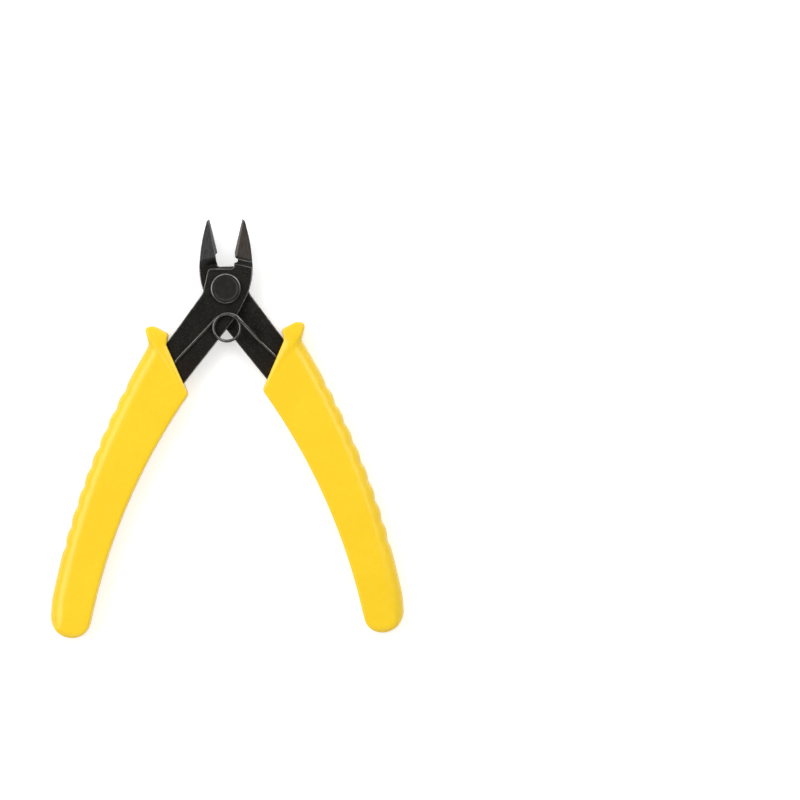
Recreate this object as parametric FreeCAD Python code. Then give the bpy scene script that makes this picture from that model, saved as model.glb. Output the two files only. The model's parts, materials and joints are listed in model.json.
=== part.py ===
import FreeCAD, Part

import math
import os

from FreeCAD import Matrix, Vector

# Flush cut pliers of the 130 mm class, lying on their back: two stamped steel halves cross like
# scissors at a rivet, a wire spring pushes them open, and each arm carries a moulded grip.
#
# Every outline is drawn for the closed tool, with the rivet's axis at x = y = 0, the jaws towards
# +Y and the middle plane between the two halves at z = 0. The front half has the right jaw and
# the left arm. The rear half is its mirror image in X, one plate lower. Each half is then turned
# about the rivet to the open position and moved so that the tool lies on z = 0.
# All lengths are millimetres and all angles degrees.

# ---- driving dimensions ---------------------------------------------------------------------
OPEN_ANGLE = 13.1  # each half turns this far from closed to open
PIVOT_Y = 40.63  # rivet axis from the middle of the tool's length
GRIP_THICKNESS = 9.6
MIDDLE_Z = GRIP_THICKNESS / 2

PLATE = 2.8  # sheet steel of both halves
PLATE_GAP = 0.025  # each plate stands this far from the middle plane
TIP_Y = 21.0
TIP_THICKNESS = 1.2
EDGE_GAP = 0.05  # each cutting edge from the centre line, with the tool closed
BEVEL = 19.0  # of the cutting bevel, from the plate's normal
EDGE_START_Y = 10.9
# The jaw steps to the middle plane between these two heights, sooner on its outer face.
OUTER_STEP_Y = (7.6, 9.2)
INNER_STEP_Y = (7.9, 9.6)
JOGGLE_RADIUS = 0.5
JAW_CHAMFER = 0.75
EDGE_BREAK = 0.35

RIVET_HEAD_RADIUS = 4.35
RIVET_HEAD_HEIGHT = 1.15
RIVET_HEAD_CHAMFER = 0.4
RIVET_DISH_RADIUS = 3.6
RIVET_DISH_SLOPE = 0.45
RIVET_DISH_DEPTH = 0.25
RIVET_SHANK_RADIUS = 2.25
RIVET_RUNNING_GAP = 0.04
RIVET_END_RADIUS = 3.1
RIVET_END_HEIGHT = 0.8
RIVET_ROUNDING = 0.2
DISH_ROUNDING = 0.1
WASHER_RADIUS = 4.3
WASHER_THICKNESS = 0.45

WIRE = 0.9  # spring wire diameter
COIL_RADIUS = 3.85  # to the wire's centre line
COIL_X = 0.25
COIL_Y = -11.5
REAR_TURN_GROWTH = 0.2  # the last turn before a leg opens out by this much in radius
FRONT_TURN_GROWTH = 0.35
LEFT_BEND_RADIUS = 8.0
RIGHT_BEND_RADIUS = 2.5
WIRE_GAP = 0.04  # wire to plate, and wire to the channel in a grip

GRIP_EDGE = 0.9  # rounding of a grip's rim
GRIP_SEAT = {1: 0.6, -1: -0.6}  # each grip is pushed on by this much more or less than the other
SEAT_ANGLE = 20.0  # of the arm from the centre line
SCALLOPS = 8
SCALLOP_PITCH = 6.1
SCALLOP_DEPTH = 0.5
VALLEY_RADIUS = 0.5
FIRST_VALLEY_Y = -34.8

CLEAR = 1.0  # cutters and sections run on past the stock by at least this much
FLAT = 1e-4  # an edge that rises less than this lies level
NEAR = 0.05  # a point this close to an edge is on it

# ---- outlines, as corners (x, y, radius) ----------------------------------------------------
# Jaw and body of a half, from the cutting edge round the outside to the arm's inner edge.
JAW_OUTSIDE = [
    (0.95, TIP_Y - 0.4, 0.25),
    (4.0, 14.6, 50.0),
    (6.75, 6.2, 16.0),
    (6.75, 0.5, 18.0),
    (4.95, -6.9, 26.0),
]
# The tang inside the grip, down its inner side and back up its outer side to the body.
TANG = [
    (-9.6, -37.5, 20.0),
    (-17.0, -60.0, 60.0),
    (-20.4, -96.0, 2.0),
    (-26.0, -96.0, 2.0),
    (-24.6, -62.0, 60.0),
    (-17.6, -36.0, 12.0),
    (-14.7, -22.4, 3.0),
]
BODY_OUTSIDE = [(-6.32, -2.9, 4.0)]
TOP_CORNER = (-6.32, 4.6, 1.3)
THROAT = (0.8, 6.15, 0.9)
# The relief between the throat and the cutting edge differs between the two jaws.
FRONT_RELIEF = [(0.8, 7.9, 0.15), (1.6, 8.4, 0.2), (1.5, 9.1, 0.3), (0.6, 9.5, 0.4)]
REAR_RELIEF = [(0.95, 8.6, 0.4), (0.75, 10.4, 0.2)]
REAR_TOP_RISE = 0.75  # the rear half's top edge stands this much higher

# Grip of the left arm, from the mouth round the guard horn, the back and the palm side.
GRIP_BACK = (-29.5, -56.2, 226.0)
GRIP_END_Y = -108.95
GRIP_OUTLINE = [
    (-13.1, -19.3, 0.5),
    (-13.3, -15.95, 1.1),
    (-17.9, -14.7, 2.4),
    (-20.45, -15.7, 1.15),
    (-18.1, -20.3, 2.5),
    GRIP_BACK,
    (GRIP_BACK[0], -99.0, 25.0),
    (-28.0, GRIP_END_Y, 6.2),
    (-17.0, GRIP_END_Y, 5.3),
    (-17.0, -65.7, 178.0),
    (-3.7, -31.9, 1.6),
]


# ---- helpers --------------------------------------------------------------------------------
def corner_arc(before, corner, after, radius):
    """The start, middle and end of the arc that rounds a corner."""
    into = (corner - before).normalize()
    out = (after - corner).normalize()
    turn = into.getAngle(out)
    reach = radius * math.tan(turn / 2)
    start = corner - into * reach
    end = corner + out * reach
    inward = (out - into).normalize()
    centre = corner + inward * (radius / math.cos(turn / 2))
    middle = centre - inward * radius
    return start, middle, end


def rounded_edges(corners, closed):
    """Lines joined by tangent arcs through corners given as (point, radius)."""
    edges = []
    last = None
    count = len(corners)
    first_start = None
    for i, (corner, radius) in enumerate(corners):
        free_end = not closed and i in (0, count - 1)
        if free_end or radius == 0:
            start = end = corner
            arc = None
        else:
            before = corners[i - 1][0]
            after = corners[(i + 1) % count][0]
            start, middle, end = corner_arc(before, corner, after, radius)
            arc = Part.Arc(start, middle, end).toShape()
        if last is None:
            first_start = start
        elif (start - last).Length > 1e-6:
            edges.append(Part.LineSegment(last, start).toShape())
        if arc:
            edges.append(arc)
        last = end
    if closed and (first_start - last).Length > 1e-6:
        edges.append(Part.LineSegment(last, first_start).toShape())
    return edges


def flat_face(corners, place=lambda u, v: Vector(u, v, 0)):
    """A flat face inside rounded corners (u, v, radius)."""
    points = [(place(u, v), radius) for u, v, radius in corners]
    return Part.Face(Part.Wire(rounded_edges(points, closed=True)))


def prism(corners, low, high):
    """An outline in X and Y, from z = low to z = high."""
    face = flat_face(corners, lambda x, y: Vector(x, y, low))
    return face.extrude(Vector(0, 0, high - low))


def cylinder(radius, low, high):
    return Part.makeCylinder(radius, high - low, Vector(0, 0, low))


def level_edges(solid):
    """The edges that lie level: the rims of a prism's two flat faces."""
    return [edge for edge in solid.Edges if edge.BoundBox.ZLength < FLAT]


def mirrored(shape):
    """The mirror image in X."""
    return shape.mirror(Vector(0, 0, 0), Vector(1, 0, 0))


def opened(shape, side):
    """Turned from closed to open: side is 1 for the front half and -1 for the rear half."""
    turned = shape.copy()
    turned.rotate(Vector(0, 0, 0), Vector(0, 0, 1), -side * OPEN_ANGLE)
    return turned


def save(shape, node):
    """Moves a finished piece onto its place on the table and writes it."""
    shape = shape.copy()
    shape.translate(Vector(0, PIVOT_Y, MIDDLE_Z))
    solids = shape.Solids
    if not shape.isValid() or not solids:
        raise ValueError(f"{node} is not a valid solid")
    whole = solids[0] if len(solids) == 1 else Part.makeCompound(solids)
    whole.exportStep(f"parts/{node}.step")
    print(f"{node}: {len(solids)} solid, {whole.Volume:.1f} mm3, {whole.BoundBox}")


# ---- the two steel halves -------------------------------------------------------------------
JAW_REAR_Z = -PLATE / 2
JAW_FRONT_Z = PLATE / 2
BODY_Z = {1: (PLATE_GAP, PLATE_GAP + PLATE), -1: (-PLATE_GAP - PLATE, -PLATE_GAP)}


def half_outline(relief, top_rise):
    """The outline of a half, drawn as the front one."""
    top = (TOP_CORNER[0], TOP_CORNER[1] + top_rise, TOP_CORNER[2])
    throat = (THROAT[0], THROAT[1] + top_rise, THROAT[2])
    return (
        [(EDGE_GAP, TIP_Y, 0)]
        + JAW_OUTSIDE
        + TANG
        + BODY_OUTSIDE
        + [top, throat]
        + relief
        + [(EDGE_GAP, EDGE_START_Y, 0)]
    )


JAW_SLOPE = (TIP_THICKNESS - PLATE) / (TIP_Y - OUTER_STEP_Y[1])


def jaw_front_z(y):
    return JAW_FRONT_Z + JAW_SLOPE * (y - OUTER_STEP_Y[1])


def side_profile(side):
    """The plate seen along X: flat body, step to the middle plane, and the tapering jaw."""
    low, high = BODY_Z[side]
    steps = [INNER_STEP_Y, OUTER_STEP_Y]
    low_step, high_step = steps if side == 1 else reversed(steps)
    back = GRIP_END_Y
    front = TIP_Y + CLEAR
    corners = [
        (back, low, 0),
        (low_step[0], low, JOGGLE_RADIUS),
        (low_step[1], JAW_REAR_Z, JOGGLE_RADIUS),
        (front, JAW_REAR_Z, 0),
        (front, jaw_front_z(front), 0),
        (high_step[1], jaw_front_z(high_step[1]), JOGGLE_RADIUS),
        (high_step[0], high, JOGGLE_RADIUS),
        (back, high, 0),
    ]
    reach = abs(GRIP_BACK[0]) + PLATE
    face = flat_face(corners, lambda y, z: Vector(-reach, y, z))
    return face.extrude(Vector(2 * reach, 0, 0))


def bevel_cutter():
    """Leaves the cutting edge on the jaw's flat rear face, with the bevel rising to the front face."""
    rise = 2 * PLATE
    run = rise * math.tan(math.radians(BEVEL))
    corners = [
        (EDGE_GAP - PLATE, JAW_REAR_Z, 0),
        (EDGE_GAP, JAW_REAR_Z, 0),
        (EDGE_GAP + run, JAW_REAR_Z + rise, 0),
        (EDGE_GAP - PLATE, JAW_REAR_Z + rise, 0),
    ]
    face = flat_face(corners, lambda x, z: Vector(x, EDGE_START_Y - CLEAR, z))
    return face.extrude(Vector(0, 2 * TIP_Y, 0))


def jaw_chamfer_cutter(start, end):
    """Takes the outer front corner off the jaw along one straight stretch of its outside."""
    a = Vector(start[0], start[1], jaw_front_z(start[1]))
    b = Vector(end[0], end[1], jaw_front_z(end[1]))
    along = (b - a).normalize()
    outward = Vector(-along.y, along.x, 0).normalize()
    inside = a - outward * JAW_CHAMFER
    below = a - Vector(0, 0, JAW_CHAMFER)
    across = (below - inside).normalize()
    if along.cross(across).dot(outward) < 0:
        across = -across
    reach = 2 * TIP_Y
    corner = inside - (along + across) * reach
    rows = zip(along, across, along.cross(across), corner)
    axes = Matrix(*[value for row in rows for value in row], 0, 0, 0, 1)
    block = Part.makeBox(2 * reach, 2 * reach, reach)
    block.transformShape(axes)
    jaw_only = Part.makeBox(reach, reach, reach, Vector(0, INNER_STEP_Y[1], -reach / 2))
    return block.common(jaw_only)


def steel_half(side):
    """One stamped half: a flat body with broken edges, and the bent and ground jaw."""
    relief, rise = (FRONT_RELIEF, 0.0) if side == 1 else (REAR_RELIEF, REAR_TOP_RISE)
    outline = half_outline(relief, rise)
    low, high = BODY_Z[side]
    body = prism(outline, low, high)
    behind_step = [e for e in level_edges(body) if e.BoundBox.YMax < OUTER_STEP_Y[0] + rise]
    body = body.makeFillet(EDGE_BREAK, behind_step)
    reach = 2 * abs(GRIP_END_Y)
    behind = Part.makeBox(2 * reach, reach, reach, Vector(-reach, OUTER_STEP_Y[0] - reach, -reach / 2))
    jaw = prism(outline, -2 * PLATE, 2 * PLATE).common(side_profile(side)).cut(behind)
    jaw = jaw.cut(bevel_cutter())
    for start, end in zip(JAW_OUTSIDE, JAW_OUTSIDE[1:3]):
        jaw = jaw.cut(jaw_chamfer_cutter(start, end))
    half = body.common(behind).fuse(jaw)
    half = half.cut(cylinder(RIVET_SHANK_RADIUS + RIVET_RUNNING_GAP, -2 * PLATE, 2 * PLATE))
    half = half.removeSplitter().Solids[0]
    return half if side == 1 else mirrored(half)


# ---- rivet and washer -----------------------------------------------------------------------
PLATE_FRONT_Z = BODY_Z[1][1]
PLATE_REAR_Z = BODY_Z[-1][0]


def pivot_rivet():
    """A turned rivet: dished round head in front, shank, and a peened end behind the washer."""
    head_low = PLATE_FRONT_Z + RIVET_RUNNING_GAP
    head_high = head_low + RIVET_HEAD_HEIGHT
    washer_low = PLATE_REAR_Z - RIVET_RUNNING_GAP - WASHER_THICKNESS
    end_low = washer_low - RIVET_END_HEIGHT
    chamfer = RIVET_HEAD_CHAMFER
    half_section = [
        (0, end_low, 0),
        (RIVET_END_RADIUS - chamfer, end_low, chamfer),
        (RIVET_END_RADIUS, washer_low, 0),
        (RIVET_SHANK_RADIUS, washer_low, 0),
        (RIVET_SHANK_RADIUS, head_low, 0),
        (RIVET_HEAD_RADIUS, head_low, 0),
        (RIVET_HEAD_RADIUS, head_high - chamfer, RIVET_ROUNDING),
        (RIVET_HEAD_RADIUS - chamfer, head_high, RIVET_ROUNDING),
        (RIVET_DISH_RADIUS, head_high, DISH_ROUNDING),
        (RIVET_DISH_RADIUS - RIVET_DISH_SLOPE, head_high - RIVET_DISH_DEPTH, DISH_ROUNDING),
        (0, head_high - RIVET_DISH_DEPTH, 0),
    ]
    face = flat_face(half_section, lambda r, z: Vector(r, 0, z))
    return face.revolve(Vector(0, 0, 0), Vector(0, 0, 1), 360)


def rivet_washer():
    top = PLATE_REAR_Z - RIVET_RUNNING_GAP
    ring = cylinder(WASHER_RADIUS, top - WASHER_THICKNESS, top)
    return ring.cut(cylinder(RIVET_SHANK_RADIUS, top - CLEAR, top + CLEAR))


# ---- return spring --------------------------------------------------------------------------
# One wire: the left leg lies on the front plate, runs over the top of the coil, and goes once
# round before the right leg leaves over it and comes down to the rear plate.
# Leg angles are from the tool's centre line, with the tool open.
LEFT_LEG_Z = PLATE_FRONT_Z + WIRE_GAP + WIRE / 2
COIL_FRONT_Z = LEFT_LEG_Z + WIRE + WIRE_GAP
RIGHT_LEG_Z = BODY_Z[-1][1] + WIRE_GAP + WIRE / 2
LEFT_LEG = [(44.0, 16.2), (38.0, 24.0)]  # angle, and distance from the coil where it ends
RIGHT_LEG = [(42.0, 9.4), (46.0, 25.0)]
LEVEL_RUN = 1.6  # the right leg's level run before it comes down to the rear plate


def on_coil(angle, z, growth=0.0, towards=0, radius=COIL_RADIUS):
    """A point of the coil, or of a turn that has grown towards one side."""
    a = math.radians(angle)
    r = radius + growth
    return Vector(COIL_X + towards * growth + r * math.cos(a), COIL_Y + r * math.sin(a), z)


def leg_direction(side, angle):
    """Away from the coil, along the leg: side is -1 for the left leg and 1 for the right leg."""
    a = math.radians(angle)
    return Vector(side * math.sin(a), -math.cos(a), 0)


def left_leg_points():
    (angle, bend_at), (end_angle, length) = LEFT_LEG
    start = on_coil(180 - angle, LEFT_LEG_Z, REAR_TURN_GROWTH, -1)
    bend = start + leg_direction(-1, angle) * bend_at
    end = bend + leg_direction(-1, end_angle) * (length - bend_at)
    return start, bend, end


def right_leg_points():
    (angle, landing_at), (end_angle, length) = RIGHT_LEG
    start = on_coil(angle, COIL_FRONT_Z, FRONT_TURN_GROWTH, 1)
    level_end = start + leg_direction(1, angle) * LEVEL_RUN
    landing = start + leg_direction(1, angle) * landing_at
    landing.z = RIGHT_LEG_Z
    end = landing + leg_direction(1, end_angle) * (length - landing_at)
    return start, level_end, landing, end


def wire_solid(edges):
    """A round wire along a smooth path that starts with a straight edge."""
    path = Part.Wire(edges)
    start = edges[0].valueAt(edges[0].FirstParameter)
    tangent = edges[0].tangentAt(edges[0].FirstParameter)
    ring = Part.Wire(Part.makeCircle(WIRE / 2, start, tangent))
    return path.makePipeShell([ring], True, False)


def return_spring():
    left = left_leg_points()
    right = right_leg_points()
    left_side = on_coil(180, COIL_FRONT_Z)
    right_side = on_coil(0, LEFT_LEG_Z)
    half_rise = (COIL_FRONT_Z - LEFT_LEG_Z) / 2
    tilted_radius = math.hypot(COIL_RADIUS, half_rise)  # the lower half turn rises, tilted as a whole
    bottom = on_coil(270, LEFT_LEG_Z + half_rise, radius=tilted_radius)
    rear_top = on_coil(60, LEFT_LEG_Z, REAR_TURN_GROWTH, -1)
    front_top = on_coil(110, COIL_FRONT_Z, FRONT_TURN_GROWTH, 1)
    turns = [
        Part.Arc(left[0], rear_top, right_side).toShape(),
        Part.Arc(right_side, bottom, left_side).toShape(),
        Part.Arc(left_side, front_top, right[0]).toShape(),
    ]
    left_corners = [(left[2], 0), (left[1], LEFT_BEND_RADIUS), (left[0], 0)]
    right_radii = [0, RIGHT_BEND_RADIUS, RIGHT_BEND_RADIUS, 0]
    left_leg = rounded_edges(left_corners, closed=False)
    right_leg = rounded_edges(list(zip(right, right_radii)), closed=False)
    return wire_solid(left_leg + turns + right_leg)


def leg_channel(points):
    """The hole that the straight end of a leg takes in its grip."""
    end = points[-1]
    along = (end - points[-2]).normalize()
    start = points[-2] - along * WIRE
    length = (end - start).Length + WIRE / 2
    return Part.makeCylinder(WIRE / 2 + WIRE_GAP, length, start, along)


# ---- grips ----------------------------------------------------------------------------------
def scallop_cutter():
    """The waste between the finger scallops, outside the arc of the grip's back, and the points
    of the valleys that it leaves."""
    x, y, radius = GRIP_BACK
    before = GRIP_OUTLINE[GRIP_OUTLINE.index(GRIP_BACK) - 1]
    corner = Vector(x, y, 0)
    end = corner_arc(Vector(before[0], before[1], 0), corner, Vector(x, GRIP_END_Y, 0), radius)[2]
    centre = Vector(end.x + radius, end.y, 0)
    step = SCALLOP_PITCH / radius
    first = math.asin((FIRST_VALLEY_Y - centre.y) / radius)

    def on_back(steps, depth):
        angle = first - steps * step
        r = radius - depth
        return centre + Vector(-r * math.cos(angle), r * math.sin(angle), 0)

    def bump(start, middle, end):
        return Part.Arc(on_back(*start), on_back(*middle), on_back(*end)).toShape()

    deep = SCALLOP_DEPTH
    edges = [bump((-0.5, 0), (-0.25, deep / 4), (0, deep))]
    for i in range(SCALLOPS):
        edges.append(bump((i, deep), (i + 0.5, 0), (i + 1, deep)))
    edges.append(bump((SCALLOPS, deep), (SCALLOPS + 0.25, deep / 4), (SCALLOPS + 0.5, 0)))
    outside = -2 * deep
    edges.append(Part.makeLine(on_back(SCALLOPS + 0.5, 0), on_back(SCALLOPS + 0.5, outside)))
    edges.append(bump((SCALLOPS + 0.5, outside), (SCALLOPS / 2, outside), (-0.5, outside)))
    edges.append(Part.makeLine(on_back(-0.5, outside), on_back(-0.5, 0)))
    face = Part.Face(Part.Wire(edges))
    face.translate(Vector(0, 0, -GRIP_THICKNESS))
    waste = face.extrude(Vector(0, 0, 2 * GRIP_THICKNESS))
    valleys = [on_back(i, deep) for i in range(SCALLOPS + 1)]
    return waste, valleys


def upright_edges(solid, points):
    """The edges along Z that pass through the given points."""
    chosen = []
    for edge in solid.Edges:
        box = edge.BoundBox
        centre = Vector(box.Center.x, box.Center.y, 0)
        if box.ZLength > GRIP_THICKNESS / 2 and min((centre - p).Length for p in points) < NEAR:
            chosen.append(edge)
    return chosen


def grip(side, steel, leg_points):
    body = prism(GRIP_OUTLINE, -GRIP_THICKNESS / 2, GRIP_THICKNESS / 2)
    waste, valleys = scallop_cutter()
    body = body.cut(waste).Solids[0]
    body = body.makeFillet(VALLEY_RADIUS, upright_edges(body, valleys))
    body = body.makeFillet(GRIP_EDGE, level_edges(body))
    slide = math.radians(SEAT_ANGLE)
    body.translate(Vector(-math.sin(slide), -math.cos(slide), 0) * GRIP_SEAT[side])
    if side == -1:
        body = mirrored(body)
    body = opened(body.cut(steel), side)
    return body.cut(leg_channel(leg_points))


# ---- build ----------------------------------------------------------------------------------
os.makedirs("parts", exist_ok=True)
front_steel = steel_half(1)
rear_steel = steel_half(-1)
save(opened(front_steel, 1), "front_blade_arm")
save(opened(rear_steel, -1), "rear_blade_arm")
save(pivot_rivet(), "pivot_rivet")
save(rivet_washer(), "rivet_washer")
save(return_spring(), "return_spring")
save(grip(1, front_steel, left_leg_points()), "left_grip")
save(grip(-1, rear_steel, right_leg_points()), "right_grip")
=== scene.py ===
import json
import math

import bpy
import numpy as np
from mathutils import Matrix, Vector
from mathutils.geometry import delaunay_2d_cdt


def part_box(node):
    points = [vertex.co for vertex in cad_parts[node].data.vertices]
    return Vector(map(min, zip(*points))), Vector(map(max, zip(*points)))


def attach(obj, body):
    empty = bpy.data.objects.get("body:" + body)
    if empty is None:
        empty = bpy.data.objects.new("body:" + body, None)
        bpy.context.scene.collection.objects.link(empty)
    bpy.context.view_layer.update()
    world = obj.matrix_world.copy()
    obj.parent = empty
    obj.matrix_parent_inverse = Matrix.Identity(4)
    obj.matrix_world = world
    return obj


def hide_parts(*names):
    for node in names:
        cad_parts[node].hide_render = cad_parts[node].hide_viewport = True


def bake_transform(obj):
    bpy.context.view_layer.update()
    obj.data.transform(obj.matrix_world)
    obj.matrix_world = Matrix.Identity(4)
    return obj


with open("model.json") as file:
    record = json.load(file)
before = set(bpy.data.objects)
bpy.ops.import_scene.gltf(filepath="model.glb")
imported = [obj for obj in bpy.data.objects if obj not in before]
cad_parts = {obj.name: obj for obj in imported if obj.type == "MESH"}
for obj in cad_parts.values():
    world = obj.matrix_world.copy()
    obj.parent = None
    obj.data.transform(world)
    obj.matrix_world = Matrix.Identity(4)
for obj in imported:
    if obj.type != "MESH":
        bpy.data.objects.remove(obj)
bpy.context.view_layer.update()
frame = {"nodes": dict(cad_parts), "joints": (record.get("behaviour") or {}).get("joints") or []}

bpy.context.scene.view_settings.view_transform = "Standard"

# ---- The two steel halves -------------------------------------------------------------------
# Two stampings of carbon steel, one over the other, hardened and blackened all over.
# Their jaws are ground after blackening, so the flats by the cutting edges show bare grey steel.

hinge = frame["joints"][0]
PIVOT = Vector(hinge["pos_m"])
OPEN_ANGLE = math.radians(hinge["range_deg"][1])
MM = 0.001
FRONT, REAR = 1, -1


def in_place(side, x, y, z=0.0):
    """A point drawn in millimetres on the closed tool, as the front half, moved to where it is
    with the tool open. The rear half is drawn the same way and mirrored."""
    swing = Matrix.Rotation(-side * OPEN_ANGLE, 3, "Z")
    return PIVOT + swing @ Vector((side * x, y, z)) * MM


class Varying:
    """A value that varies over a surface: Python's operators add the Math nodes."""

    def __init__(self, finish, socket):
        self.finish = finish
        self.socket = socket

    def maths(self, operation, first, second):
        return self.finish.maths(operation, first, second)

    def __add__(self, other):
        return self.maths("ADD", self, other)

    def __sub__(self, other):
        return self.maths("SUBTRACT", self, other)

    def __mul__(self, other):
        return self.maths("MULTIPLY", self, other)

    def __rsub__(self, other):
        return self.maths("SUBTRACT", other, self)

    __radd__ = __add__
    __rmul__ = __mul__


class Finish:
    """One material, or the room's world, built node by node."""

    def __init__(self, name, owner=None):
        self.owner = owner or bpy.data.materials.new(name)
        self.owner.use_nodes = True
        self.tree = self.owner.node_tree
        self.tree.nodes.clear()

    def node(self, kind, settings=None, sockets=None, output=0):
        made = self.tree.nodes.new(kind)
        for name, value in (settings or {}).items():
            setattr(made, name, value)
        for name, value in (sockets or {}).items():
            if isinstance(value, Varying):
                self.tree.links.new(value.socket, made.inputs[name])
            else:
                made.inputs[name].default_value = value
        return Varying(self, made.outputs[output]) if made.outputs else made

    def maths(self, operation, first, second=0.0):
        return self.node("ShaderNodeMath", {"operation": operation}, {0: first, 1: second})

    def vector_maths(self, operation, first, second, output=0):
        return self.node("ShaderNodeVectorMath", {"operation": operation}, {0: first, 1: second}, output)

    def place(self):
        return self.node("ShaderNodeTexCoord", output="Object")

    def noise(self, place, size, detail=2.0, roughness=0.5):
        """Noise about 0.5, whose features are `size` millimetres across."""
        sockets = {"Vector": place, "Scale": 1 / (size * MM), "Detail": detail, "Roughness": roughness}
        return self.node("ShaderNodeTexNoise", None, sockets)

    def step(self, value, low, high, to_low=0.0, to_high=1.0):
        """A soft step from to_low to to_high while the value goes from low to high."""
        sockets = {0: value, 1: low, 2: high, 3: to_low, 4: to_high}
        return self.node("ShaderNodeMapRange", {"interpolation_type": "SMOOTHSTEP"}, sockets)

    def band(self, value, centre, half_width):
        """1 where the value is at the centre, falling softly to 0 at half_width from it."""
        return self.step(self.maths("ABSOLUTE", value - centre), half_width, 0.0)

    def mix(self, factor, first, second):
        """From the first colour to the second as the factor goes from 0 to 1."""
        return self.node("ShaderNodeMix", {"data_type": "RGBA"}, {0: factor, 6: first, 7: second}, 2)

    def edges(self, radius):
        """1 on edges that are sharper than the radius in millimetres, 0 on open surfaces."""
        softened = self.node("ShaderNodeBevel", {"samples": 6}, {"Radius": radius * MM})
        true = self.node("ShaderNodeNewGeometry", output="Normal")
        return self.step(self.vector_maths("DOT_PRODUCT", softened, true, "Value"), 0.985, 0.80)

    def finished(self, uniform, varying, bumps, bump_height):
        """The surface: `uniform` sets sockets, `varying` links them, `bumps` is a height of 0 to 1."""
        bump = {"Height": bumps, "Distance": bump_height * MM, "Strength": 1.0}
        normal = self.node("ShaderNodeBump", None, bump)
        surface = self.node("ShaderNodeBsdfPrincipled", None, {**uniform, **varying, "Normal": normal})
        self.node("ShaderNodeOutputMaterial", None, {"Surface": surface})
        return self.owner


BLACK = (0.0150, 0.0145, 0.0130, 1)
BLACK_WORN = (0.026, 0.025, 0.022, 1)
BROWNED = (0.028, 0.020, 0.014, 1)
# Bare steel: the colour of wear, and of the painted highlights.
BARE_STEEL_AND_HIGHLIGHT = (0.36, 0.355, 0.34, 1)
SPECK = (0.075, 0.075, 0.073, 1)
GROUND = {FRONT: (0.072, 0.062, 0.054), REAR: (0.064, 0.064, 0.066)}
GROOVE_TONE = 0.62  # colour in the grinding lines, as a share of the ground face's

# Heights above the pivot on the closed tool, in millimetres.
GROUND_FROM = {FRONT: 9.75, REAR: 9.55}
BENT_FROM, BENT_TO = 7.6, 9.2  # the outer face's bend towards the middle
INNER_BEND = (7.9, 9.6)  # the same bend on the face towards the other half
JAW_END = 21.0
BROWNED_FROM, BROWNED_TO = -18.0, -26.0

# Sizes of the marks on the steel, in millimetres.
GRAIN = 0.16
SPECK_SIZE = 0.42
WEAR_PATCH = 1.6
BLOTCH = 5.0
GRINDING_LINE = 0.34
LINE_DRAW = (1.0, 0.14, 1.0)  # draws the grinding lines out along the jaw
CREST_HALF = 0.22
WORN_AND_HIGHLIT_EDGE = 0.2
TIP_RUN = 1.5
BLEND_RUN = 0.3  # from the blackened steel to the ground face

# How bare the wear and the painted highlights leave the steel, from 0 to 1: the crests and the rear half's
# inner bend carry painted light only, the edges both wear and painted highlight.
CREST_PAINTED_HIGHLIGHT = {FRONT: 0.5, REAR: 0.0}
INNER_BEND_PAINTED_LIGHT = {FRONT: 0.0, REAR: 0.12}
EDGE_WEAR_AND_HIGHLIGHT = 0.6
TIP_WEAR = 0.5
WEAR_AND_HIGHLIGHT = 0.75
SPECKLED = 0.40
BROWNING = 0.55
LEVEL, UPRIGHT = 0.985, 0.30  # a normal's z on a flat face, and on a cut side


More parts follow.
